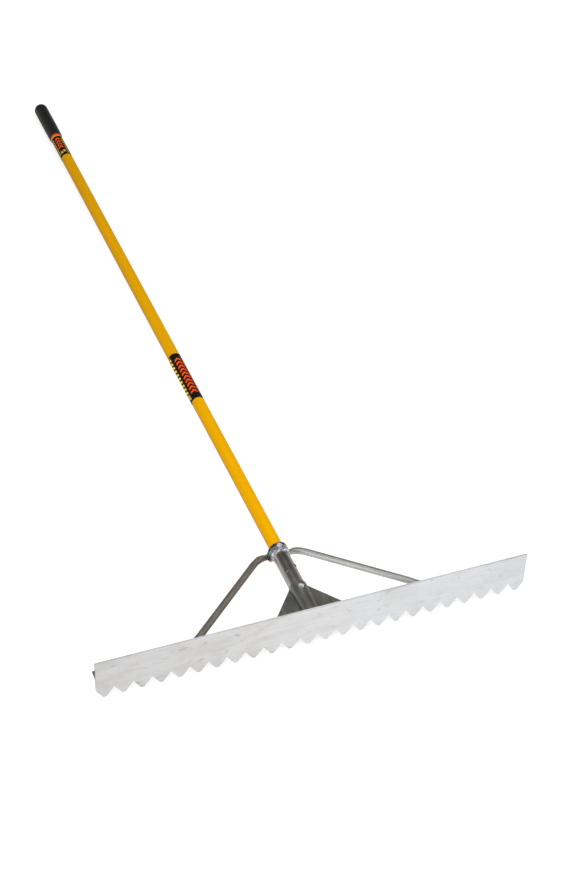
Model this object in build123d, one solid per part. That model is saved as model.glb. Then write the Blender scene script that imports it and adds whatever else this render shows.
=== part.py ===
"""Asphalt rake: a toothed aluminium blade, a pressed bracket, two bent tube braces and a long handle.

The rake is drawn square to its blade: X runs along the blade, Y runs from the blade's front face
along the handle, and Z runs up from the tooth tips. At the end the whole rake is laid down, so that
it stands on its tooth tips with the grip resting on the ground at Z = 0.
All sizes are in millimetres and angles in degrees.
"""
from build123d import *
from math import asin, atan2, cos, degrees, hypot, pi, radians, sin, tan
import os

# Blade, an extruded T: a plate with teeth along one edge and a rib along its back
tooth_pitch = 38.1
tooth_count = 24
tooth_depth = 24.0
tooth_tip_width = 6.4
tooth_root_radius = 1.0
end_trim = 2.4
blade_height = 95.25
blade_thickness = 4.8
blade_edge_radius = 0.6
rib_height = 50.8
rib_depth = 20.0
rib_thickness = 4.8
rib_root_radius = 2.5
rib_edge_radius = 1.2

# Handle, a pultruded tube with a solid core where the bolts cross it
handle_diameter = 29.4
handle_wall = 3.2
handle_length = 2055.4
core_length = 250.0

# Grip, a moulded sleeve with a domed end
grip_length = 171.0
grip_diameter = 36.0
grip_mouth_diameter = 34.2
grip_mouth_taper = 40.0
grip_mouth_radius = 2.0
grip_end_wall = 14.0

# Wrapped labels
label_thickness = 0.35
upper_label_length = 108.0
middle_label_length = 169.0
middle_label_distance = 902.0

# Ferrule tube and the two bracket pressings that hold it
ferrule_wall = 2.1
ferrule_setback = 1.0
handle_setback = 1.5
bracket_thickness = 2.0
bracket_base_width = 199.4
bracket_nose_width = 37.4
bracket_nose_distance = 109.5
bracket_corner_radius = 2.0
saddle_length = 86.2
saddle_root_radius = 2.2

# Clamp collars and the brace tabs between them
clamp_distance = 222.6
front_collar_length = 17.2
step_length = 8.0
collar_wall = 3.9
step_wall = 3.0
front_flange_thickness = 3.0
rear_flange_thickness = 3.3
ferrule_overhang = 0.4
ear_radius = 5.2
ear_drop = 12.0
ear_spacing = 38.6
collar_edge_radius = 0.9
spot_face_depth = 0.8

# Braces, round tube pressed flat at both ends
brace_diameter = 14.3
brace_wall = 1.5
tab_thickness = 3.2
tab_width = 16.0
tab_overhang = 5.2
tab_lift = 1.5
knee_offset = 1.4
knee_half_width = 43.5
knee_radius = 46.0
foot_half_width = 266.0
foot_flat_length = 33.0
foot_taper_length = 26.0

# Fasteners: across flats, head height, nut height, washer diameter and thickness of each thread
large_thread = 6.0
large_flats = 10.0
large_head = 4.0
large_nut = 5.0
large_washer = 13.0
large_washer_thickness = 1.2
small_thread = 5.0
small_flats = 8.0
small_head = 3.5
small_nut = 4.0
small_washer = 9.5
small_washer_thickness = 1.0
hole_clearance = 0.4
thread_protrusion = 1.5
hex_chamfer = 0.5

# Places of the fasteners
saddle_bolt_distance = 94.0
inner_bracket_bolt = 40.0
outer_bracket_bolt = 84.0
rivet_shank = 4.8
rivet_head = 9.0
rivet_head_height = 1.6
left_rivet_distance = 150.0
left_rivet_angle = 33.0
right_rivet_distance = 163.0
right_rivet_angle = 57.0

# Clearances
slip_clearance = 0.1
wrap_clearance = 0.02

# Worked out from the sizes above
blade_length = tooth_pitch * tooth_count - 2 * end_trim
rib_back = blade_thickness + rib_depth
rib_bolt_row = blade_thickness + rib_depth / 2 + 1.0
rib_top = rib_height + rib_thickness / 2
rib_underside = rib_height - rib_thickness / 2
axis_height = rib_underside - bracket_thickness

handle_radius = handle_diameter / 2
ferrule_bore = handle_radius + slip_clearance
ferrule_radius = ferrule_bore + ferrule_wall
saddle_bore = ferrule_radius + slip_clearance
saddle_radius = saddle_bore + bracket_thickness
collar_bore = ferrule_radius + slip_clearance
collar_radius = collar_bore + collar_wall
step_radius = collar_bore + step_wall
clamp_seat_radius = collar_radius - spot_face_depth

ferrule_front = rib_back + ferrule_setback
handle_front = ferrule_front + handle_setback
handle_back = handle_front + handle_length
grip_back = handle_back + grip_end_wall
grip_front = grip_back - grip_length
tab_front = clamp_distance - tab_thickness / 2
tab_back = clamp_distance + tab_thickness / 2
collar_front = tab_front - front_collar_length
collar_step = collar_front + step_length
flange_front = tab_front - front_flange_thickness
flange_back = tab_back + rear_flange_thickness
ferrule_back = flange_back + ferrule_overhang
clamp_bolt_distance = (collar_step + tab_front) / 2
ear_height = axis_height - ear_drop
ear_half_spacing = ear_spacing / 2


def along_handle(distance, x=0.0, height=axis_height):
    """The plane square to the handle at a distance from the blade's front face, facing the grip."""
    return Plane(origin=(x, distance, height), x_dir=(-1, 0, 0), z_dir=(0, 1, 0))


def tube(radius, bore, start, end):
    """A tube round the handle's axis between two distances."""
    ring = Circle(radius) - Circle(bore)
    return extrude(along_handle(start) * ring, end - start)


def rod(radius, start, end):
    """A solid rod on the handle's axis between two distances."""
    return extrude(along_handle(start) * Circle(radius), end - start)


def upright_hole(thread, x, y):
    """A clearance hole straight through everything at one place."""
    hole = Cylinder(thread / 2 + hole_clearance / 2, 3 * blade_height)
    return Pos(x, y, axis_height) * hole


def hex_prism(flats, height):
    """A hexagon standing on Z = 0 with its corners turned down at the top."""
    corner_radius = flats / 2 / cos(pi / 6)
    prism = extrude(RegularPolygon(corner_radius, 6), height)
    turned = Cone(corner_radius + height - hex_chamfer, corner_radius - hex_chamfer, height,
                  align=(Align.CENTER, Align.CENTER, Align.MIN))
    return prism & turned


def hex_bolt(thread, flats, head, shank):
    """A bolt hanging down from Z = 0, with its head above."""
    shank_body = Cylinder(thread / 2, shank, align=(Align.CENTER, Align.CENTER, Align.MAX))
    tip = shank_body.edges().group_by(Axis.Z)[0]
    return chamfer(tip, hex_chamfer) + hex_prism(flats, head)


def nut(thread, flats, height):
    """A nut hanging down from Z = 0, with its turned side below."""
    bore = Cylinder(thread / 2 + wrap_clearance, height, align=(Align.CENTER, Align.CENTER, Align.MIN))
    return Rot(X=180) * (hex_prism(flats, height) - bore)


def washer(thread, diameter, thickness):
    """A washer hanging down from Z = 0."""
    ring = Circle(diameter / 2) - Circle((thread + hole_clearance) / 2)
    return extrude(ring, -thickness)


def bolt_set(size, grip_thickness, seats, head_washer=False):
    """Bolts, nuts and washers of one size for seats where each head bears, as three groups."""
    thread, flats, head, nut_height, washer_diameter, washer_thickness = size
    shank = grip_thickness + washer_thickness + nut_height + thread_protrusion
    bolts = [seat * hex_bolt(thread, flats, head, shank) for seat in seats]
    washers = [seat * Pos(Z=-grip_thickness) * washer(thread, washer_diameter, washer_thickness)
               for seat in seats]
    nuts = [seat * Pos(Z=-grip_thickness - washer_thickness) * nut(thread, flats, nut_height)
            for seat in seats]
    return bolts, washers, nuts


large_size = (large_thread, large_flats, large_head, large_nut, large_washer, large_washer_thickness)
small_size = (small_thread, small_flats, small_head, small_nut, small_washer, small_washer_thickness)


def tooth_gap():
    """One V between two teeth, seen from the front, with a rounded root."""
    mouth = tooth_pitch - tooth_tip_width
    below = tooth_depth * 0.5
    flare = mouth / 2 * (1 + below / tooth_depth)
    outline = Polygon((0, tooth_depth), (-flare, -below), (flare, -below), align=None)
    root = outline.vertices().sort_by(Axis.Y)[-1]
    return fillet(root, tooth_root_radius)


def blade():
    """The extruded T with a gap cut at every pitch, so that each end falls near the middle of a gap."""
    plate = Pos(blade_thickness / 2, blade_height / 2) * Rectangle(blade_thickness, blade_height)
    rib = Pos(rib_back / 2, rib_height) * Rectangle(rib_back, rib_thickness)
    section = plate + rib
    roots = [v for v in section.vertices()
             if abs(v.X - blade_thickness) < 0.01 and abs(v.Y - rib_height) < rib_thickness]
    section = fillet(roots, rib_root_radius)
    tips = [v for v in section.vertices() if abs(v.X - rib_back) < 0.01]
    section = fillet(tips, rib_edge_radius)
    top = [v for v in section.vertices() if abs(v.Y - blade_height) < 0.01]
    section = fillet(top, blade_edge_radius)
    across = Plane(origin=(-blade_length / 2, 0, 0), x_dir=(0, 1, 0), z_dir=(1, 0, 0))
    body = extrude(across * section, blade_length)
    front = Plane(origin=(0, -1, 0), x_dir=(1, 0, 0), z_dir=(0, -1, 0))
    gap = extrude(front * tooth_gap(), -blade_thickness - 2)
    for step in range(tooth_count + 1):
        body -= Pos((step - tooth_count / 2) * tooth_pitch) * gap
    for x, y in rib_bolt_places():
        body -= upright_hole(large_thread, x, y)
    return body


def rib_bolt_places():
    """Where bolts cross the rib: two pairs for the bracket and one for the brace feet."""
    half_widths = (inner_bracket_bolt, outer_bracket_bolt, foot_half_width)
    return [(side * x, rib_bolt_row) for side in (-1, 1) for x in half_widths]


def bracket_outline():
    """The bracket seen from above: a triangle with its point cut off, and the strip of the saddle."""
    base = blade_thickness + rib_root_radius + slip_clearance
    half_base = bracket_base_width / 2
    half_nose = bracket_nose_width / 2
    wings = Polygon((-half_base, base), (half_base, base), (half_nose, bracket_nose_distance),
                    (-half_nose, bracket_nose_distance), align=None)
    corners = wings.vertices().sort_by(Axis.Y)[:2]
    return fillet(corners, bracket_corner_radius)


def saddle_section():
    """The saddle seen along the handle: half a ring with a foot on each side."""
    foot = Pos(0, bracket_thickness / 2) * Rectangle(2 * (saddle_radius + saddle_root_radius),
                                                     bracket_thickness)
    outline = Circle(saddle_radius) + foot
    roots = [v for v in outline.vertices()
             if abs(v.Y - bracket_thickness) < 0.01 and abs(v.X) < saddle_radius]
    outline = fillet(roots, saddle_root_radius - 0.1)
    upper_half = Rectangle(4 * saddle_radius, 2 * saddle_radius, align=(Align.CENTER, Align.MIN))
    return (outline & upper_half) - Circle(saddle_bore)


def upper_bracket():
    """The upper pressing: flat wings under the rib, and a half-round saddle over the ferrule.

    The saddle's feet are trimmed to the wings' outline, so that its open end has no steps.
    """
    split = Plane(origin=(0, 0, axis_height))
    channel = Pos(0, ferrule_front) * Rectangle(2 * saddle_bore, bracket_nose_distance,
                                                align=(Align.CENTER, Align.MIN))
    pressing = extrude(split * (bracket_outline() - channel), bracket_thickness)
    pressing += extrude(along_handle(ferrule_front) * saddle_section(), saddle_length)
    strip = Pos(0, ferrule_front) * Rectangle(2 * saddle_radius, saddle_length,
                                              align=(Align.CENTER, Align.MIN))
    pressing &= extrude(split * (bracket_outline() + strip), 2 * saddle_radius)
    pressing -= upright_hole(large_thread, 0, saddle_bolt_distance)
    for x, y in rib_bolt_places():
        pressing -= upright_hole(large_thread, x, y)
    return pressing


def lower_bracket():
    """The lower pressing is the upper one turned over about the handle's axis."""
    return mirror(upper_bracket(), Plane(origin=(0, 0, axis_height), z_dir=(0, 0, 1)))


def rivet_places():
    """The two blind rivets, each as distance and angle from the top, positive towards +X."""
    return ((left_rivet_distance, -left_rivet_angle), (right_rivet_distance, right_rivet_angle))


def at_rivet(distance, angle):
    """The place on the handle's axis of one rivet, with Z out along the rivet."""
    return Pos(0, distance, axis_height) * Rot(Y=angle)


def rivet_hole(distance, angle):
    hole = Cylinder(rivet_shank / 2 + slip_clearance, 2 * ferrule_radius,
                    align=(Align.CENTER, Align.CENTER, Align.MIN))
    return at_rivet(distance, angle) * hole


def drilled(body):
    """Takes the through-bolt holes and the rivet holes out of the ferrule, handle or core."""
    body -= upright_hole(large_thread, 0, saddle_bolt_distance)
    body -= upright_hole(large_thread, 0, clamp_bolt_distance)
    for distance, angle in rivet_places():
        body -= rivet_hole(distance, angle)
    return body


def ferrule():
    """The socket tube that carries the handle."""
    return drilled(tube(ferrule_radius, ferrule_bore, ferrule_front, ferrule_back))


def handle_tube():
    """The pultruded tube."""
    return drilled(tube(handle_radius, handle_radius - handle_wall, handle_front, handle_back))


def handle_core():
    """The dowel inside the tube's lower end, which keeps the bolts from crushing it."""
    core = rod(handle_radius - handle_wall - slip_clearance, handle_front, handle_front + core_length)
    core -= upright_hole(large_thread, 0, saddle_bolt_distance)
    core -= upright_hole(large_thread, 0, clamp_bolt_distance)
    return core


def rivets():
    """Blind rivets through the ferrule and the handle's wall, with domed heads."""
    set_of_rivets = []
    for distance, angle in rivet_places():
        reach = handle_radius - handle_wall + 2 * slip_clearance
        seat = ferrule_radius - 0.5
        shank = Pos(Z=reach) * Cylinder(rivet_shank / 2, seat - reach + 0.5,
                                        align=(Align.CENTER, Align.CENTER, Align.MIN))
        ball = (rivet_head ** 2 / 4 + rivet_head_height ** 2) / 2 / rivet_head_height
        dome = Pos(Z=ferrule_radius + rivet_head_height - ball) * Sphere(ball)
        head = Pos(Z=seat) * Cylinder(rivet_head / 2, rivet_head_height + 1,
                                      align=(Align.CENTER, Align.CENTER, Align.MIN))
        set_of_rivets.append(at_rivet(distance, angle) * (shank + (head & dome)))
    ferrule_body = rod(ferrule_radius, ferrule_front, ferrule_back)
    shanks = [at_rivet(*place) * Cylinder(rivet_shank / 2, 4 * ferrule_radius) for place in rivet_places()]
    return [(rivet - ferrule_body) + (rivet & shank & ferrule_body)
            for rivet, shank in zip(set_of_rivets, shanks)]


def flange():
    """A two-bolt flange outline round the ferrule, seen along the handle."""
    ears = [Pos(side * ear_half_spacing, -ear_drop) * Circle(ear_radius) for side in (-1, 1)]
    outline = make_hull((Circle(collar_radius) + ears).edges())
    outline -= Circle(collar_bore)
    for side in (-1, 1):
        outline -= Pos(side * ear_half_spacing, -ear_drop) * Circle((small_thread + hole_clearance) / 2)
    return outline


def rear_collar():
    """The flange on the grip side of the brace tabs."""
    plate = extrude(along_handle(tab_back) * flange(), rear_flange_thickness)
    return less_spot_faces(plate)


def front_collar():
    """The stepped collar on the blade side of the brace tabs, which also takes the clamp bolt."""
    step = tube(step_radius, collar_bore, collar_front, collar_step)
    step = fillet(outer_rim(step, collar_front, step_radius), collar_edge_radius)
    hub = tube(collar_radius, collar_bore, collar_step, flange_front)
    hub = fillet(outer_rim(hub, collar_step, collar_radius), collar_edge_radius / 2)
    plate = extrude(along_handle(flange_front) * flange(), front_flange_thickness)
    body = less_spot_faces(step + hub + plate) - upright_hole(large_thread, 0, clamp_bolt_distance)
    for side in (-1, 1):
        pocket = along_handle(collar_step, side * ear_half_spacing, ear_height)
        pocket *= Circle(small_washer / 2 + slip_clearance)
        body -= extrude(pocket, flange_front - collar_step)
    return body


def less_spot_faces(body):
    """Cuts the flats that the clamp bolt's head and washer need on the round top and bottom."""
    for side in (-1, 1):
        face = Align.MIN if side > 0 else Align.MAX
        flat = Cylinder(large_washer / 2 + slip_clearance, 4 * spot_face_depth,
                        align=(Align.CENTER, Align.CENTER, face))
        body -= Pos(0, clamp_bolt_distance, axis_height + side * clamp_seat_radius) * flat
    return body


def outer_rim(hub, distance, radius):
    """The outer circular edge of a collar at one end."""
    return [edge for edge in hub.edges().filter_by(GeomType.CIRCLE)
            if abs(edge.center().Y - distance) < 0.01 and abs(edge.radius - radius) < 0.01]


def tube_section(place, thickness, width, inset=0.0):
    """A tube's outline on a plane, from round to pressed flat, always as four edges.

    The plane's X runs across the thickness and its Y across the width.
    """
    half_thickness = thickness / 2 - inset
    half_flat = (width - thickness) / 2
    turn = radians(45)
    if half_flat < 0.01:
        reach = half_thickness * cos(turn)
        corners = [(reach, -reach), (reach, reach), (-reach, reach), (-reach, -reach)]
        middles = [(half_thickness, 0), (0, half_thickness), (-half_thickness, 0), (0, -half_thickness)]
        sides = [ThreePointArc(corners[i], middles[i], corners[(i + 1) % 4]) for i in range(4)]
    else:
        top = half_flat + half_thickness
        corners = [(half_thickness, -half_flat), (half_thickness, half_flat),
                   (-half_thickness, half_flat), (-half_thickness, -half_flat)]
        sides = [Line(corners[0], corners[1]), ThreePointArc(corners[1], (0, top), corners[2]),
                 Line(corners[2], corners[3]), ThreePointArc(corners[3], (0, -top), corners[0])]
    return place * make_face(Curve() + sides)


class BraceRoute:
    """The stations of the right-hand brace, from its foot under the rib to its tab in the clamp."""

    def __init__(self):
        foot_height = rib_underside - tab_thickness / 2
        run_distance = clamp_distance + knee_offset
        self.foot = Vector(foot_half_width, rib_bolt_row, foot_height)
        self.knee = Vector(knee_half_width, run_distance, ear_height + tab_lift)
        self.leg = (self.knee - self.foot).normalized()
        self.run = Vector(-1, 0, 0)
        flat_leg = Vector(self.leg.X, self.leg.Y, 0).normalized()
        self.leg_angle = degrees(atan2(flat_leg.Y, -flat_leg.X))
        self.tangent = knee_radius * tan(radians(self.leg_angle / 2))
        self.flat_leg = flat_leg

    def on_leg(self, distance):
        """A point on the straight leg, measured from the foot's bolt."""
        return self.foot + self.leg * distance

    def leg_plane(self, distance):
        """The plane square to the leg, with its X level and its Y up."""
        return Plane(origin=self.on_leg(distance), x_dir=self.leg.cross(Vector(0, 0, 1)), z_dir=self.leg)

    def foot_plane(self, distance):
        """A plane square to the leg's plan at the foot, with its X up, for a tab that lies flat."""
        return Plane(origin=self.foot + self.flat_leg * distance, x_dir=(0, 0, 1), z_dir=self.flat_leg)

    def foot_trim(self):
        """The round-ended strip that the flat foot is trimmed to, as a deep block."""
        level = Plane(origin=self.foot, x_dir=self.flat_leg, z_dir=(0, 0, 1))
        strip = Rectangle(2 * foot_flat_length, 2 * tab_width, align=(Align.MIN, Align.CENTER))
        return extrude(level * (Circle(tab_width / 2) + strip), tab_width, both=True)

    def knee_plane(self, share, shift):
        """A plane part way round the knee, moved towards the blade as the tube flattens."""
        turned = radians(self.leg_angle * (1 - share))
        heading = Vector(-cos(turned), sin(turned), 0)
        full = radians(self.leg_angle)
        start = self.knee - self.flat_leg * self.tangent
        across = knee_radius * (sin(full) - sin(turned))
        along = knee_radius * (cos(turned) - cos(full))
        place = Vector(start.X - across, start.Y + along - shift, self.knee.Z)
        return Plane(origin=place, x_dir=heading.cross(Vector(0, 0, 1)), z_dir=heading)


def brace_solid(inset):
    """The right-hand brace's outside, or with an inset its bore."""
    route = BraceRoute()
    leg_end = (route.knee - route.foot).length - route.tangent
    taper_end = foot_flat_length + foot_taper_length
    round_start = tube_section(route.leg_plane(taper_end), brace_diameter, brace_diameter, inset)
    straight = extrude(round_start, leg_end - taper_end, dir=route.leg)
    bend = [route.leg_plane(leg_end), route.knee_plane(0.3, 0), route.knee_plane(0.6, 0)]
    bend = [tube_section(place, brace_diameter, brace_diameter, inset) for place in bend]
    if inset:
        return straight + loft(bend)
    foot_start = tube_section(route.foot_plane(-tab_width), tab_thickness, tab_width)
    foot_tab = extrude(foot_start, foot_flat_length + tab_width, dir=route.flat_leg)
    foot_tab &= route.foot_trim()
    foot_end = tube_section(route.foot_plane(foot_flat_length), tab_thickness, tab_width)
    taper = loft([foot_end, turned_section(route.leg_plane(taper_end))])
    half_pressed = tube_section(route.knee_plane(0.82, knee_offset / 2),
                                (brace_diameter + tab_thickness) / 2, (brace_diameter + tab_width) / 2)
    tab_end = tube_section(route.knee_plane(1.0, knee_offset), tab_thickness, tab_width)
    knee = loft(bend + [half_pressed, tab_end])
    tab_length = knee_half_width - route.tangent - ear_half_spacing + tab_overhang
    clamp_tab = extrude(tab_end, tab_length, dir=route.run)
    clamp_tab -= rod(collar_bore, tab_front - tab_thickness, tab_back + tab_thickness)
    return foot_tab + taper + straight + knee + clamp_tab


def turned_section(place):
    """The round section with its four edges starting a quarter turn on, to match a level tab."""
    turned = Plane(origin=place.origin, x_dir=place.y_dir, z_dir=place.z_dir)
    return tube_section(turned, brace_diameter, brace_diameter)


def right_brace():
    """A brace with its bore and its two bolt holes."""
    body = brace_solid(0) - brace_solid(brace_wall)
    body -= upright_hole(large_thread, foot_half_width, rib_bolt_row)
    ear = along_handle(tab_front - 1, ear_half_spacing, ear_height)
    hole = extrude(ear * Circle((small_thread + hole_clearance) / 2), tab_thickness + 2)
    return body - hole


def grip():
    """The moulded grip: a straight sleeve with a domed end and a mouth drawn in a little."""
    end_radius = grip_diameter / 2
    mouth_radius = grip_mouth_diameter / 2
    dome_centre = grip_back - end_radius
    bore = handle_radius + slip_clearance
    # X is the radius and Y the distance along the handle
    mouth = (mouth_radius, grip_front)
    shoulder = (end_radius, grip_front + grip_mouth_taper)
    outline = make_face(Curve() + [
        Line((0, grip_front), mouth),
        Line(mouth, shoulder),
        Line(shoulder, (end_radius, dome_centre)),
        CenterArc((0, dome_centre), end_radius, 0, 90),
        Line((0, grip_back), (0, grip_front)),
    ])
    rim = [v for v in outline.vertices() if hypot(v.X - mouth[0], v.Y - mouth[1]) < 0.01]
    outline = fillet(rim, grip_mouth_radius)
    lying = Plane(origin=(0, 0, axis_height), x_dir=(1, 0, 0), z_dir=(0, 0, 1))
    body = revolve(lying * outline, Axis((0, 0, axis_height), (0, 1, 0)))
    return body - rod(bore, grip_front - 1, handle_back + slip_clearance)


def label(start, length):
    """A vinyl sleeve wrapped round the handle."""
    inner = handle_radius + wrap_clearance
    return tube(inner + label_thickness, inner, start, start + length)


def rest_lean():
    """How far the handle leans down from level when its grip lies on the ground."""
    dome_centre = grip_back - grip_diameter / 2
    reach = dome_centre - blade_thickness
    return degrees(atan2(axis_height, reach) - asin(grip_diameter / 2 / hypot(axis_height, reach)))


def laid_down(shape):
    """Leans the rake back on the tooth tips' rear edge, then centres its length on the origin."""
    lean = rest_lean()
    pivot = Pos(0, blade_thickness, 0)
    leaned = pivot * Rot(X=-lean) * Pos(0, -blade_thickness, 0) * shape
    turned = radians(lean)
    front = blade_thickness * (1 - cos(turned))
    dome_centre = grip_back - grip_diameter / 2
    back = (blade_thickness + (dome_centre - blade_thickness) * cos(turned)
            + axis_height * sin(turned) + grip_diameter / 2)
    return Pos(0, -(front + back) / 2, 0) * leaned


def crossing_seats(radius, distance):
    """The seat of a bolt head on top of a round part that the bolt crosses."""
    return [Pos(0, distance, axis_height + radius)]


def build_parts():
    """Every node of the rake, still square to its blade."""
    right = right_brace()
    parts = {
        "blade": [blade()],
        "upper_bracket": [upper_bracket()],
        "lower_bracket": [lower_bracket()],
        "ferrule": [ferrule()],
        "handle_tube": [handle_tube()],
        "handle_core": [handle_core()],
        "grip": [grip()],
        "upper_label": [label(grip_front - upper_label_length - wrap_clearance, upper_label_length)],
        "middle_label": [label(middle_label_distance - middle_label_length, middle_label_length)],
        "rear_collar": [rear_collar()],
        "front_collar": [front_collar()],
        "right_brace": [right],
        "left_brace": [mirror(right, Plane.YZ)],
        "ferrule_rivets": rivets(),
    }
    ear_seats = [Pos(side * ear_half_spacing, flange_back, ear_height) * Rot(X=-90)
                 for side in (-1, 1)]
    bracket_seats = [Pos(x, y, rib_top) for x, y in rib_bolt_places() if abs(x) < foot_half_width]
    foot_seats = [Pos(side * foot_half_width, rib_bolt_row, rib_top) for side in (-1, 1)]
    sets = {
        "saddle": (large_size, 2 * saddle_radius, crossing_seats(saddle_radius, saddle_bolt_distance)),
        "clamp": (large_size, 2 * clamp_seat_radius,
                  crossing_seats(clamp_seat_radius, clamp_bolt_distance)),
        "ear": (small_size, flange_back - flange_front, ear_seats),
        "bracket": (large_size, rib_thickness + 2 * bracket_thickness, bracket_seats),
        "brace_foot": (large_size, rib_thickness + tab_thickness, foot_seats),
    }
    for name, (size, grip_thickness, seats) in sets.items():
        plural = "s" if len(seats) > 1 else ""
        bolts, washers, nuts = bolt_set(size, grip_thickness, seats)
        parts[name + "_bolt" + plural] = bolts
        parts[name + "_washer" + plural] = washers
        parts[name + "_nut" + plural] = nuts
    return parts


os.makedirs("parts", exist_ok=True)
for node, solids in build_parts().items():
    placed = [laid_down(solid) for solid in solids]
    shape = placed[0] if len(placed) == 1 else Compound(children=placed)
    shape.label = node
    export_step(shape, "parts/" + node + ".step")
print("rest lean %.3f degrees, blade length %.1f mm" % (rest_lean(), blade_length))
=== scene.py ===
"""Looks of the asphalt rake: materials, label print, floor, light and the camera.

The rake's own frame is X along the blade, Y from the blade's front face along the handle and Z up.
The row frame is that frame leaned back about the rear edge of the tooth tips and centred.
Lengths are in metres, except the places of the label print along the handle, in millimetres.
"""

from math import cos, pi, radians, sin

import bmesh
import bpy
from mathutils import Matrix, Vector


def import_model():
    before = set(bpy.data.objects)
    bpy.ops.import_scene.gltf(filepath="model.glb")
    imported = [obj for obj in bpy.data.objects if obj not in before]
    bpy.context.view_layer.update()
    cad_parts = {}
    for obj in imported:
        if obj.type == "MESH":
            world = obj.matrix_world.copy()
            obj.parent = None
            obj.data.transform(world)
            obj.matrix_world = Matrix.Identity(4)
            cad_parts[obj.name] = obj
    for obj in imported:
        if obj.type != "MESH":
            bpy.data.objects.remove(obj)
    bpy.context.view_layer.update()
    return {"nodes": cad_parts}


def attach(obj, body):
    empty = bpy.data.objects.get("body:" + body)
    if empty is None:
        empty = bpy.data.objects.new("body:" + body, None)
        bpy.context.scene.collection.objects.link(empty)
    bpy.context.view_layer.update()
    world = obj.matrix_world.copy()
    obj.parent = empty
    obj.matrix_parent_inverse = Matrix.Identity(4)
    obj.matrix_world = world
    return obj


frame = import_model()
nodes = frame["nodes"]

# The rake's own frame in the row frame
LEAN = 0.01369234
SHIFT = -1.048571
BLADE_THICKNESS = 0.0048
AXIS_HEIGHT = 0.0464

# The angle of a brace's leg from X, seen from above
LEG_ANGLE = radians(137.3)

# Places along Y of the row frame, for the change from the blade's plate to its rib
PLATE_BACK = -1.0424
RIB_FRONT = -1.0412
BEHIND_RIB = -1.0

# Depth of the relief on the materials
STREAK_RELIEF = 0.00003
SPOT_RELIEF = 0.00004
ZINC_RELIEF = 0.00002
RUBBER_RELIEF = 0.00008
WOOD_RELIEF = 0.0001


def to_row(x, y, z):
    """A point of the rake's own frame, in the row frame."""
    along = y - BLADE_THICKNESS
    return Vector((x,
                   BLADE_THICKNESS + along * cos(LEAN) + z * sin(LEAN) + SHIFT,
                   z * cos(LEAN) - along * sin(LEAN)))


# ---------------------------------------------------------------- materials

# Sockets of the colour Mix node, whose names repeat
MIX_FACTOR, MIX_FIRST, MIX_SECOND, MIX_RESULT = 0, 6, 7, 2


def linear(red, green, blue):
    """A colour given as 0 to 255 on screen, in the linear values that Blender's sockets hold."""
    def one(value):
        value /= 255
        return value / 12.92 if value <= 0.04045 else ((value + 0.055) / 1.055) ** 2.4
    return (one(red), one(green), one(blue), 1.0)


def grey_colour(level):
    """A grey given as a linear value."""
    return (level, level, level, 1.0)


def shades(*colours):
    """Several screen colours, made linear."""
    return tuple(linear(*colour) for colour in colours)


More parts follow.
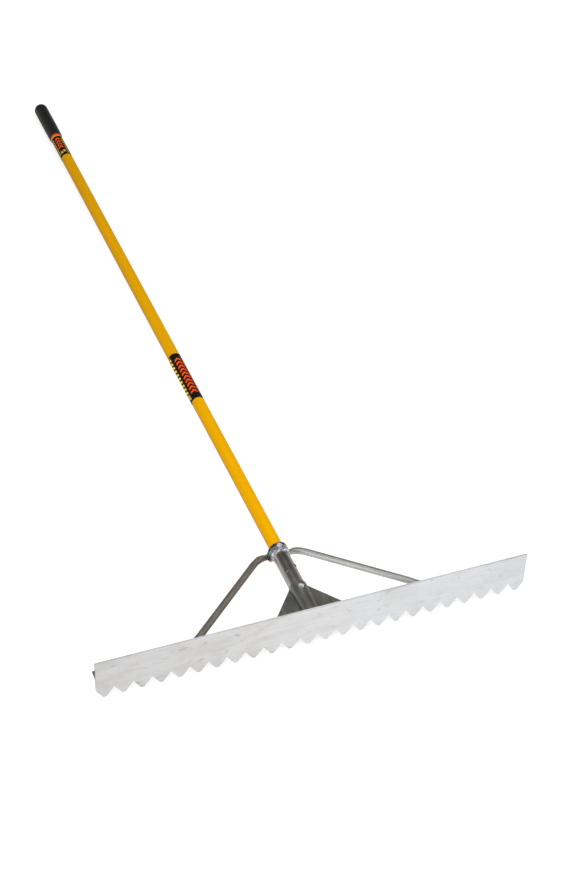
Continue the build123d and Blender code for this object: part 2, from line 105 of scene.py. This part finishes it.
class Finish:
    """A node material built up in steps round one Principled shader."""

    def __init__(self, name, rough, metallic, **inputs):
        self.material = bpy.data.materials.new(name)
        self.material.use_nodes = True
        self.tree = self.material.node_tree
        self.shader = self.tree.nodes["Principled BSDF"]
        self.shader.inputs["Roughness"].default_value = rough
        self.shader.inputs["Metallic"].default_value = metallic
        for key, value in inputs.items():
            self.shader.inputs[key.replace("_", " ")].default_value = value
        coords = self.tree.nodes.new("ShaderNodeTexCoord")
        self.coords = coords.outputs["Object"]
        self.facing = coords.outputs["Normal"]
        self.normal = None

    def link(self, start, end):
        """Links two sockets."""
        self.tree.links.new(start, end)

    def mapping(self, scale, turn=(0, 0, 0)):
        """Object coordinates turned, then scaled."""
        turned = self.tree.nodes.new("ShaderNodeMapping")
        turned.inputs["Rotation"].default_value = turn
        self.link(self.coords, turned.inputs["Vector"])
        scaled = self.tree.nodes.new("ShaderNodeMapping")
        scaled.inputs["Scale"].default_value = scale
        self.link(turned.outputs["Vector"], scaled.inputs["Vector"])
        return scaled.outputs["Vector"]

    def noise(self, scale, turn=(0, 0, 0), detail=4.0, rough=0.55, distortion=0.0):
        """Noise whose scale is waves per metre on each axis."""
        texture = self.tree.nodes.new("ShaderNodeTexNoise")
        texture.inputs["Scale"].default_value = 1.0
        texture.inputs["Detail"].default_value = detail
        texture.inputs["Roughness"].default_value = rough
        texture.inputs["Distortion"].default_value = distortion
        self.link(self.mapping(scale, turn), texture.inputs["Vector"])
        return texture.outputs["Fac"]

    def ramp(self, value, stops):
        """A colour ramp of (place, colour) stops."""
        node = self.tree.nodes.new("ShaderNodeValToRGB")
        elements = node.color_ramp.elements
        while len(elements) < len(stops):
            elements.new(0.5)
        for element, (place, colour) in zip(elements, stops):
            element.position = place
            element.color = colour
        self.link(value, node.inputs["Fac"])
        return node.outputs["Color"]

    def levels(self, value, stops):
        """A ramp of greys, from (place, level) stops."""
        return self.ramp(value, [(place, grey_colour(level)) for place, level in stops])

    def grey(self, value, low, high, start=0.3, end=0.7):
        """A value mapped between two greys."""
        return self.levels(value, ((start, low), (end, high)))

    def along(self, axis, stops):
        """A grey that changes along one axis of the row frame, from (metres, level) stops."""
        split = self.tree.nodes.new("ShaderNodeSeparateXYZ")
        self.link(self.coords, split.inputs["Vector"])
        low, high = stops[0][0], stops[-1][0]
        place = self.tree.nodes.new("ShaderNodeMapRange")
        place.inputs["From Min"].default_value = low
        place.inputs["From Max"].default_value = high
        self.link(split.outputs[axis], place.inputs["Value"])
        return self.levels(place.outputs["Result"],
                           [((at - low) / (high - low), level) for at, level in stops])

    def turned(self, direction, stops):
        """A grey that changes with how far the surface faces a direction of the row frame."""
        dot = self.tree.nodes.new("ShaderNodeVectorMath")
        dot.operation = "DOT_PRODUCT"
        dot.inputs[1].default_value = direction
        self.link(self.facing, dot.inputs[0])
        return self.levels(dot.outputs["Value"], stops)

    def mix(self, first, second, factor, blend="MIX"):
        """Two colours mixed, each an output or a plain colour."""
        node = self.tree.nodes.new("ShaderNodeMix")
        node.data_type = "RGBA"
        node.blend_type = blend
        for place, value in ((MIX_FIRST, first), (MIX_SECOND, second), (MIX_FACTOR, factor)):
            if hasattr(value, "is_linked"):
                self.link(value, node.inputs[place])
            else:
                node.inputs[place].default_value = value
        return node.outputs[MIX_RESULT]

    def colour(self, output):
        """Gives the shader its colour."""
        self.link(output, self.shader.inputs["Base Color"])

    def shaded(self, body, *tones):
        """Gives the shader a colour multiplied by greys."""
        for tone in tones:
            body = self.mix(body, tone, 1.0, "MULTIPLY")
        self.colour(body)

    def roughness(self, output):
        """Gives the shader its roughness."""
        self.link(output, self.shader.inputs["Roughness"])

    def bump(self, value, depth, strength):
        """Adds relief of that depth."""
        node = self.tree.nodes.new("ShaderNodeBump")
        node.inputs["Distance"].default_value = depth
        node.inputs["Strength"].default_value = strength
        self.link(value, node.inputs["Height"])
        if self.normal is not None:
            self.link(self.normal, node.inputs["Normal"])
        self.normal = node.outputs["Normal"]
        self.link(self.normal, self.shader.inputs["Normal"])


def milled(name, tints, turn, rough=0.42, streaks=(4, 380, 380), patches=20, painted_dark_side=None):
    """Drawn or pressed aluminium: streaks of its tints along the X of a frame turned about Z.

    The direction and stops in the last argument paint the side that faces that way darker: painted
    shade, and on the ferrule a painted dark reflection.
    """
    finish = Finish(name, rough, 1.0, Specular_Tint=(0.55, 0.55, 0.55, 1.0))
    about = (0, 0, -turn)
    fine = finish.noise(streaks, about, 5.0, 0.6)
    broad = finish.noise((streaks[0] * 1.5, streaks[1] / 4, streaks[2] / 4), about, 3.0)
    cloud = finish.noise((patches, patches * 1.6, patches), about, 4.0, 0.6, 0.4)
    stops = tuple(zip((0.34, 0.46, 0.56, 0.68), tints))
    body = finish.mix(finish.ramp(fine, stops), finish.ramp(broad, stops), 0.6)
    tones = [finish.grey(cloud, 0.84, 1.05, 0.32, 0.62)]
    # Painted shade on the side facing the given direction; on the ferrule a painted dark
    # reflection
    if painted_dark_side:
        tones.append(finish.turned(*painted_dark_side))
    finish.shaded(body, *tones)
    finish.roughness(finish.grey(cloud, rough - 0.04, rough + 0.10))
    finish.bump(fine, STREAK_RELIEF, 0.7)
    return finish.material


def blade_finish():
    """Rolled aluminium: faint streaks, soft patches and dull spots, with painted shade on the rib
    and ends and a painted highlight on the top edge.
    """
    # Painted shade: the rib behind the plate and the cut end faces are darkened
    plate_metal, rib_metal, rib_painted_shade = 0.55, 1.0, 0.40
    painted_shade_on_ends = ((0.8, 1.0), (0.95, 0.5))
    finish = Finish("rolled_blade", 0.5, plate_metal)
    fine = finish.noise((3, 260, 260), detail=5.0, rough=0.6)
    patches = finish.noise((13, 13, 30), detail=4.0, rough=0.6, distortion=0.5)
    spots = finish.noise((44, 44, 70), detail=2.0, rough=0.5, distortion=0.3)
    smears = finish.noise((24, 24, 90), detail=3.0, rough=0.55, distortion=0.8)
    warm = finish.ramp(patches, ((0.36, linear(213, 211, 209)), (0.5, linear(217, 216, 215)),
                                 (0.64, linear(217, 217, 218))))
    body = finish.mix(warm, linear(215, 218, 222),
                      finish.along("X", ((-0.1, 0.0), (0.1, 0.35), (0.455, 0.75))))
    rib = finish.along("Y", ((PLATE_BACK, 0.0), (RIB_FRONT, 1.0), (BEHIND_RIB, 1.0)))
    finish.shaded(body,
                  # Painted shade on the end faces and on the rib
                  finish.turned((-1, 0, 0), painted_shade_on_ends),
                  finish.turned((1, 0, 0), painted_shade_on_ends),
                  finish.grey(rib, 1.0, rib_painted_shade, 0.0, 1.0),
                  finish.grey(fine, 0.97, 1.02, 0.36, 0.62),
                  finish.grey(patches, 0.95, 1.02, 0.40, 0.60),
                  finish.grey(smears, 1.0, 0.92, 0.56, 0.68),
                  finish.grey(spots, 1.0, 0.78, 0.62, 0.74),
                  finish.along("X", ((-0.455, 0.83), (-0.2, 0.92), (0.02, 0.99), (0.3, 1.0),
                                     (0.455, 0.98))),
                  # Up-facing faces lighter: a painted highlight on the top edge
                  finish.turned((0, 0, 1), ((0.4, 1.0), (0.9, 1.16))))
    finish.link(finish.grey(rib, plate_metal, rib_metal, 0.0, 1.0),
                finish.shader.inputs["Metallic"])
    finish.roughness(finish.grey(patches, 0.46, 0.56))
    finish.bump(fine, STREAK_RELIEF, 0.6)
    finish.bump(spots, SPOT_RELIEF, 0.5)
    return finish.material


def zinc_finish(name, metallic, tints, *tones):
    """Zinc plate with its bloom, and painted light along the handle if asked, as tones."""
    finish = Finish(name, 0.3, metallic)
    bloom = finish.noise((150, 150, 150), detail=4.0, rough=0.6, distortion=0.8)
    grain = finish.noise((900, 900, 900), detail=3.0)
    body = finish.ramp(bloom, tuple(zip((0.36, 0.48, 0.58, 0.66), tints)))
    finish.shaded(body, *(finish.along("Y", tone) for tone in tones))
    finish.roughness(finish.grey(grain, 0.22, 0.36))
    finish.bump(grain, ZINC_RELIEF, 0.5)
    return finish.material


def handle_finish():
    """Pultruded yellow fibreglass: smooth over lengthwise fibres, with painted shade on its flanks
    and towards the grip.
    """
    finish = Finish("yellow_fibreglass", 0.42, 0.0, Specular_IOR_Level=0.02)
    fibres = finish.noise((700, 5, 700), (LEAN, 0, 0), 4.0, 0.6)
    clouds = finish.noise((30, 4, 30), (LEAN, 0, 0), 3.0)
    body = finish.ramp(fibres, ((0.35, linear(230, 165, 0)), (0.65, linear(239, 175, 1))))
    finish.shaded(body,
                  finish.grey(clouds, 0.95, 1.02),
                  # Painted shade: the flanks and underside darker than the top
                  finish.turned((0, 0, 1), ((0.0, 0.80), (0.55, 0.93), (0.9, 1.0))),
                  # Painted shade: darker towards the grip end
                  finish.along("Y", ((-0.85, 1.0), (-0.4, 0.97), (0.0, 0.93), (0.45, 0.88),
                                     (0.9, 0.82))))
    finish.bump(fibres, STREAK_RELIEF, 0.6)
    return finish.material


def grip_finish():
    """Soft black rubber with a fine moulded grain."""
    finish = Finish("moulded_rubber", 0.62, 0.0, Specular_IOR_Level=0.35)
    grain = finish.noise((1500, 1500, 1500), detail=3.0)
    scuffs = finish.noise((60, 18, 60), detail=4.0, distortion=0.6)
    finish.colour(finish.ramp(scuffs, ((0.35, linear(22, 19, 16)), (0.7, linear(36, 32, 28)))))
    finish.roughness(finish.grey(scuffs, 0.52, 0.72))
    finish.bump(grain, RUBBER_RELIEF, 0.8)
    return finish.material


def vinyl_finish(name, shade, wear):
    """Printed vinyl film with a faint wear pattern."""
    finish = Finish(name, 0.42, 0.0, Specular_IOR_Level=0.04)
    worn = finish.noise((160, 40, 160), detail=5.0, rough=0.65)
    finish.colour(finish.ramp(worn, ((0.4, linear(*shade)), (0.8, linear(*wear)))))
    finish.roughness(finish.grey(worn, 0.34, 0.5))
    return finish.material


def wood_finish():
    """The dowel inside the tube, which no one sees."""
    finish = Finish("dowel", 0.6, 0.0)
    grain = finish.noise((400, 12, 400), detail=5.0)
    body = finish.ramp(grain, ((0.35, linear(168, 128, 84)), (0.65, linear(205, 168, 118))))
    finish.colour(body)
    finish.bump(grain, WOOD_RELIEF, 0.5)
    return finish.material


# Streaks of the aluminium parts
SHEET = shades((144, 136, 121), (164, 157, 142), (142, 152, 154), (198, 182, 158))
TUBE = shades((176, 174, 170), (192, 190, 186), (190, 192, 192), (214, 211, 206))
FERRULE = shades((180, 173, 164), (196, 189, 180), (190, 191, 188), (220, 212, 201))
# A darker copy of the brace tube metal for the left brace: painted shade
SHADED_TUBE = shades((148, 140, 126), (162, 154, 141), (158, 154, 146), (182, 173, 158))
RIVET = shades((104, 108, 108), (118, 122, 122), (112, 118, 120), (138, 142, 142))

# Bloom of the zinc-plated parts
BRIGHT_ZINC = shades((136, 143, 155), (188, 192, 198), (222, 222, 222), (242, 240, 236))
WORN_ZINC = shades((96, 102, 112), (166, 170, 176), (210, 210, 208), (244, 242, 238))
# A darker copy of the bright zinc for the ear bolts, washers and nuts: painted shade
SHADED_ZINC = shades((62, 60, 60), (96, 96, 98), (124, 124, 124), (160, 158, 154))

# Directions of the painted dark reflection on the ferrule's top and the painted shade on the left
# brace, with the fall of their tone
FERRULE_PAINTED_REFLECTION = ((-0.34, 0, 0.94), ((0.80, 1.0), (0.95, 0.68)))
LEFT_PAINTED_SHADE = ((0.66, -0.71, -0.25), ((0.1, 0.95), (0.6, 0.6), (0.95, 0.5)))

# Painted light on the clamp along Y: a painted highlight on the front step, painted shade on the
# hub and flanges
COLLAR_PAINTED_LIGHT = ((-0.8440, 1.25), (-0.8375, 1.15), (-0.8355, 0.55), (-0.8300, 0.5),
               (-0.8270, 0.4), (-0.8190, 0.34))

blade_metal = blade_finish()
bracket_metal = milled("pressed_bracket", SHEET, pi / 2)
# The ferrule's top is painted darker: a painted dark reflection
ferrule_metal = milled("drawn_ferrule", FERRULE, pi / 2, 0.32, (5, 420, 420), 26, FERRULE_PAINTED_REFLECTION)
right_metal = milled("brace_tube_right", TUBE, LEG_ANGLE, 0.55)
# The left brace is painted darker all over and more on its inner front flank: painted shade
left_shaded_metal = milled("brace_tube_left_painted_shade", SHADED_TUBE, pi - LEG_ANGLE, 0.58, painted_dark_side=LEFT_PAINTED_SHADE)
rivet_metal = milled("rivet_heads", RIVET, 0.0, 0.5)
bright_zinc = zinc_finish("bright_zinc", 0.9, BRIGHT_ZINC)
# The collars wear painted light: a painted highlight on the front step, painted shade on hub and
# flanges
collar_zinc_painted_light = zinc_finish("collar_zinc_painted_light", 0.6, WORN_ZINC, COLLAR_PAINTED_LIGHT)
saddle_zinc = zinc_finish("bolt_zinc", 0.2, BRIGHT_ZINC)
clamp_zinc = zinc_finish("collar_bolt", 0.3, BRIGHT_ZINC)
# The ear hardware wears the darker zinc copy: painted shade
ear_zinc_painted_shade = zinc_finish("ear_zinc_painted_shade", 0.9, SHADED_ZINC)
fibreglass = handle_finish()
rubber = grip_finish()
black_vinyl = vinyl_finish("black_vinyl", (20, 18, 18), (36, 33, 30))
orange_print = vinyl_finish("orange_print", (246, 82, 14), (228, 86, 24))
yellow_print = vinyl_finish("yellow_print", (250, 210, 18), (232, 190, 30))
dim_print = vinyl_finish("dim_yellow_print", (206, 168, 52), (184, 148, 52))
red_print = vinyl_finish("red_print", (196, 48, 18), (180, 56, 26))

# What each node wears; the other bolts, washers and nuts wear bright zinc
WEARS = {
    "blade": blade_metal,
    "upper_bracket": bracket_metal, "lower_bracket": bracket_metal,
    "ferrule": ferrule_metal, "ferrule_rivets": rivet_metal,
    "right_brace": right_metal, "left_brace": left_shaded_metal,
    "front_collar": collar_zinc_painted_light, "rear_collar": collar_zinc_painted_light,
    "saddle_bolt": saddle_zinc, "clamp_bolt": clamp_zinc,
    "ear_bolts": ear_zinc_painted_shade, "ear_washers": ear_zinc_painted_shade, "ear_nuts": ear_zinc_painted_shade,
    "handle_tube": fibreglass, "handle_core": wood_finish(), "grip": rubber,
    "upper_label": black_vinyl, "middle_label": black_vinyl,
}
for name, node in nodes.items():
    node.data.materials.clear()
    node.data.materials.append(WEARS.get(name, bright_zinc))


# ---------------------------------------------------------------- label print

LABEL_RADIUS = 0.01507
PRINT_THICKNESS = 0.00006
DEGREES_PER_FACE = 6


def wrapped_point(along, angle, radius):
    """A point round the handle: millimetres from the blade and degrees from the top towards +X."""
    turn = radians(angle)
    return to_row(radius * sin(turn), along / 1000, AXIS_HEIGHT + radius * cos(turn))


def wrap_block(data, start, end, low, high, slant=0.0):
    """A thin four-sided block of print wrapped on a label, slanted along the handle if asked."""
    steps = max(1, int(abs(high - low) / DEGREES_PER_FACE))
    rows = []
    for i in range(steps + 1):
        share = i / steps
        angle = low + (high - low) * share
        drift = slant * (share - 0.5)
        rows.append([data.verts.new(wrapped_point(y + drift, angle, LABEL_RADIUS + lift))
                     for y in (start, end) for lift in (-PRINT_THICKNESS / 2, PRINT_THICKNESS)])
    for a, b in zip(rows, rows[1:]):
        for i, j in ((1, 3), (3, 2), (2, 0), (0, 1)):
            data.faces.new((a[i], a[j], b[j], b[i]))
    for row in (rows[0], rows[-1]):
        data.faces.new((row[0], row[1], row[3], row[2]))


def print_piece(name, blocks, material):
    """Puts blocks of (start, end, low, high, slant) on the rake as one piece of print."""
    data = bmesh.new()
    for block in blocks:
        wrap_block(data, *block)
    bmesh.ops.recalc_face_normals(data, faces=data.faces)
    mesh = bpy.data.meshes.new(name)
    data.to_mesh(mesh)
    data.free()
    mesh.materials.append(material)
    piece = bpy.data.objects.new(name, mesh)
    bpy.context.scene.collection.objects.link(piece)
    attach(piece, "root")


def block_row(first, sides, pitch, count, length):
    """A row of equal blocks along the handle; sides are their two angles and their slant."""
    return [(first + pitch * i, first + length + pitch * i, *sides) for i in range(count)]


def chevrons(first, angles, pitch, count, depth, rise, drift):
    """A row of points, each of two slanted blocks between three angles that drift along it."""
    blocks = []
    for i in range(count):
        start = first + pitch * i
        end = start + depth
        left, middle, right = (angle + drift * i for angle in angles)
        blocks += [(start, end, left, middle, rise), (start, end, middle, right, -rise)]
    return blocks


# Middle label: a row of squares on the left, plain points along the top, a thin line on the right
SQUARE = (-101, -61, -8.5)
LAST_SQUARE = (897.4, 900.4, -98, -68, -2.8)
print_piece("middle_label_squares",
            block_row(764.0, SQUARE, pitch=13.7, count=10, length=7.7) + [LAST_SQUARE],
            yellow_print)
print_piece("middle_label_long_square", [(742.6, 758.6, *SQUARE)], dim_print)
print_piece("middle_label_bars",
            chevrons(754.5, (-37, -5, 24), pitch=13.4, count=10, depth=6.4, rise=7, drift=0.5),
            orange_print)
print_piece("middle_label_line", [(751, 876, 39, 60)], red_print)

# Upper label: a ring by the grip, check columns on both sides, plain points, two blocks
CHECK_COLUMNS = ((1824, (-101, -81, -3.5)), (1829, (-79, -60, -3.5)),
                 (1824, (20, 33, 2.5)), (1829, (35, 52, 2.5)))
print_piece("upper_label_ring", [(1916.6, 1925.4, -180, 180)], orange_print)
print_piece("upper_label_ring_edge", [(1913.4, 1916.3, -180, 180)], yellow_print)
checks = []
for first, sides in CHECK_COLUMNS:
    checks += block_row(first, sides, pitch=10, count=8, length=5.6)
print_piece("upper_label_checks", checks, dim_print)
print_piece("upper_label_points",
            chevrons(1854, (-45, -19, 6), pitch=13.5, count=4, depth=7, rise=7, drift=0.8),
            orange_print)
print_piece("upper_label_blocks", [(1827, 1838, -48, -24), (1830, 1841, -16, 8)], dim_print)


# ---------------------------------------------------------------- floor, light, camera

# The floor, which the camera and gloss see as a darker grey that glows
FLOOR_REACH = 9.0
FLOOR_DROP = 0.0004
FLOOR_GREY = 0.75
SEEN_FLOOR_GREY = 0.42
SEEN_FLOOR_GLOW = 0.72

# The world: strengths for the camera and for soft light, and (height, level) stops for gloss
BACKDROP = 0.93
SOFT_LIGHT = 0.48
HORIZON_GLOSS = (0.0, 0.55)
CEILING_GLOSS = (0.38, 0.11)
GLOSS_BLUE = 1.02

# Name, place, target, size and watts of each lamp
LAMPS = (
    ("left_lamp", (-2.4, -2.6, 1.6), (0, -0.6, 0.05), (1.6, 1.2), 48),
    ("right_lamp", (2.6, -2.2, 1.8), (0, -0.4, 0.05), (1.6, 1.2), 40),
    ("top_lamp", (-0.4, -0.6, 3.2), (0, 0, 0.0), (2.4, 3.0), 40),
)

# The camera fitted to the photograph, with the axes of its view
LENS = 75.754
CAMERA_PLACE = (-1.03024, -3.30436, 2.6973)
CAMERA_RIGHT = (0.933065, -0.357784, 0.037154)
CAMERA_UP = (0.209037, 0.623388, 0.753453)
CAMERA_AHEAD = (0.292735, 0.695254, -0.656451)


def join(tree, *links):
    """Links pairs of sockets."""
    for start, end in links:
        tree.links.new(start, end)


def diffuse(tree, level):
    """The output of a grey diffuse shader."""
    node = tree.nodes.new("ShaderNodeBsdfDiffuse")
    node.inputs["Color"].default_value = grey_colour(level)
    return node.outputs[0]


def background(tree, strength):
    """A white background of that strength."""
    node = tree.nodes.new("ShaderNodeBackground")
    node.inputs["Color"].default_value = grey_colour(1.0)
    node.inputs["Strength"].default_value = strength
    return node


def floor():
    """A pale floor that glows a little to the camera and in gloss, and keeps the shadow."""
    data = bmesh.new()
    bmesh.ops.create_grid(data, x_segments=1, y_segments=1, size=FLOOR_REACH)
    mesh = bpy.data.meshes.new("floor")
    data.to_mesh(mesh)
    data.free()
    piece = bpy.data.objects.new("floor", mesh)
    piece.location.z = -FLOOR_DROP
    bpy.context.scene.collection.objects.link(piece)
    material = bpy.data.materials.new("pale_floor")
    material.use_nodes = True
    tree = material.node_tree
    tree.nodes.clear()
    glow = tree.nodes.new("ShaderNodeEmission")
    glow.inputs["Strength"].default_value = SEEN_FLOOR_GLOW
    both = tree.nodes.new("ShaderNodeAddShader")
    paths = tree.nodes.new("ShaderNodeLightPath")
    seen = tree.nodes.new("ShaderNodeMath")
    seen.operation = "MAXIMUM"
    chosen = tree.nodes.new("ShaderNodeMixShader")
    out = tree.nodes.new("ShaderNodeOutputMaterial")
    join(tree,
         (diffuse(tree, SEEN_FLOOR_GREY), both.inputs[0]),
         (glow.outputs[0], both.inputs[1]),
         (paths.outputs["Is Camera Ray"], seen.inputs[0]),
         (paths.outputs["Is Glossy Ray"], seen.inputs[1]),
         (seen.outputs[0], chosen.inputs[0]),
         (diffuse(tree, FLOOR_GREY), chosen.inputs[1]),
         (both.outputs[0], chosen.inputs[2]),
         (chosen.outputs[0], out.inputs["Surface"]))
    mesh.materials.append(material)


def world():
    """Pale to the camera, even soft light, and for gloss a room with a darker ceiling."""
    sky = bpy.data.worlds.new("studio")
    bpy.context.scene.world = sky
    sky.use_nodes = True
    tree = sky.node_tree
    tree.nodes.clear()
    coords = tree.nodes.new("ShaderNodeTexCoord")
    split = tree.nodes.new("ShaderNodeSeparateXYZ")
    ceiling = tree.nodes.new("ShaderNodeValToRGB")
    stops = (HORIZON_GLOSS, CEILING_GLOSS)
    for element, (place, level) in zip(ceiling.color_ramp.elements, stops):
        element.position = place
        element.color = (level, level, level * GLOSS_BLUE, 1.0)
    room = background(tree, 1.0)
    backdrop = background(tree, BACKDROP)
    soft = background(tree, SOFT_LIGHT)
    paths = tree.nodes.new("ShaderNodeLightPath")
    lighting = tree.nodes.new("ShaderNodeMixShader")
    seen = tree.nodes.new("ShaderNodeMixShader")
    out = tree.nodes.new("ShaderNodeOutputWorld")
    join(tree,
         (coords.outputs["Generated"], split.inputs["Vector"]),
         (split.outputs["Z"], ceiling.inputs["Fac"]),
         (ceiling.outputs["Color"], room.inputs["Color"]),
         (paths.outputs["Is Diffuse Ray"], lighting.inputs[0]),
         (room.outputs[0], lighting.inputs[1]),
         (soft.outputs[0], lighting.inputs[2]),
         (paths.outputs["Is Camera Ray"], seen.inputs[0]),
         (lighting.outputs[0], seen.inputs[1]),
         (backdrop.outputs[0], seen.inputs[2]),
         (seen.outputs[0], out.inputs["Surface"]))


def lamp(name, place, target, size, power):
    """A soft rectangular lamp aimed at its target."""
    data = bpy.data.lights.new(name, "AREA")
    data.shape = "RECTANGLE"
    data.size, data.size_y = size
    data.energy = power
    piece = bpy.data.objects.new(name, data)
    piece.location = place
    aim = Vector(target) - Vector(place)
    piece.rotation_euler = aim.to_track_quat("-Z", "Y").to_euler()
    bpy.context.scene.collection.objects.link(piece)


def camera():
    """The camera of the photograph's viewing angle."""
    data = bpy.data.cameras.new("photo_view")
    data.lens = LENS
    data.sensor_width = 36.0
    data.sensor_fit = "AUTO"
    data.clip_start = 0.05
    data.clip_end = 60.0
    piece = bpy.data.objects.new("photo_view", data)
    axes = (Vector(CAMERA_RIGHT), Vector(CAMERA_UP), -Vector(CAMERA_AHEAD))
    turn = Matrix(axes).transposed()
    piece.matrix_world = Matrix.Translation(CAMERA_PLACE) @ turn.to_4x4()
    bpy.context.scene.collection.objects.link(piece)
    bpy.context.scene.camera = piece


floor()
world()
for setting in LAMPS:
    lamp(*setting)
camera()
bpy.context.scene.view_settings.view_transform = "Standard"
